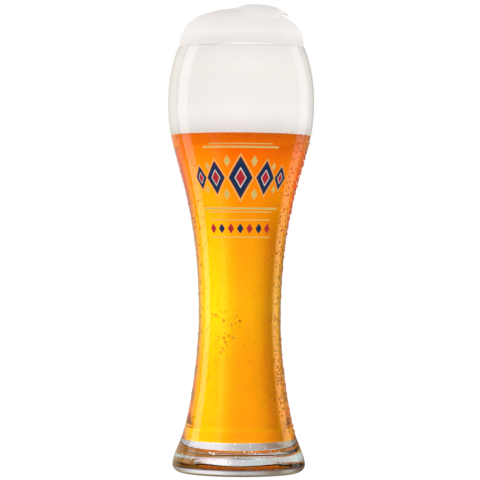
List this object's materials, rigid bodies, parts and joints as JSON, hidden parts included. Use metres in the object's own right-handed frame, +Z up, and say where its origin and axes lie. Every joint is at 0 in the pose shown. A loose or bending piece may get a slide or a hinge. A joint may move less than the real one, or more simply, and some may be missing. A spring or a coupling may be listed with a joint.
{
  "type": "beer glass",
  "caption": "Tall waisted wheat-beer glass with a heavy rounded foot, filled with golden beer under a thick foam head that domes above the rim.",
  "frame": {"origin": "centre of the standing ring under the foot, on the plane of the table", "axes": "+Z up along the axis of the glass; -Y is the front, with the printed band; +X is to the right of the front"},
  "size_m": [0.0852, 0.0852, 0.2735],
  "materials": {
    "glass": "polished",
    "beer": "gloss",
    "foam": "matte",
    "enamel": "gloss",
    "dew": "polished"
  },
  "bodies": {
    "root": {"glass_body": "glass", "beer": "beer", "foam_head": "foam"}
  },
  "joints": []
}
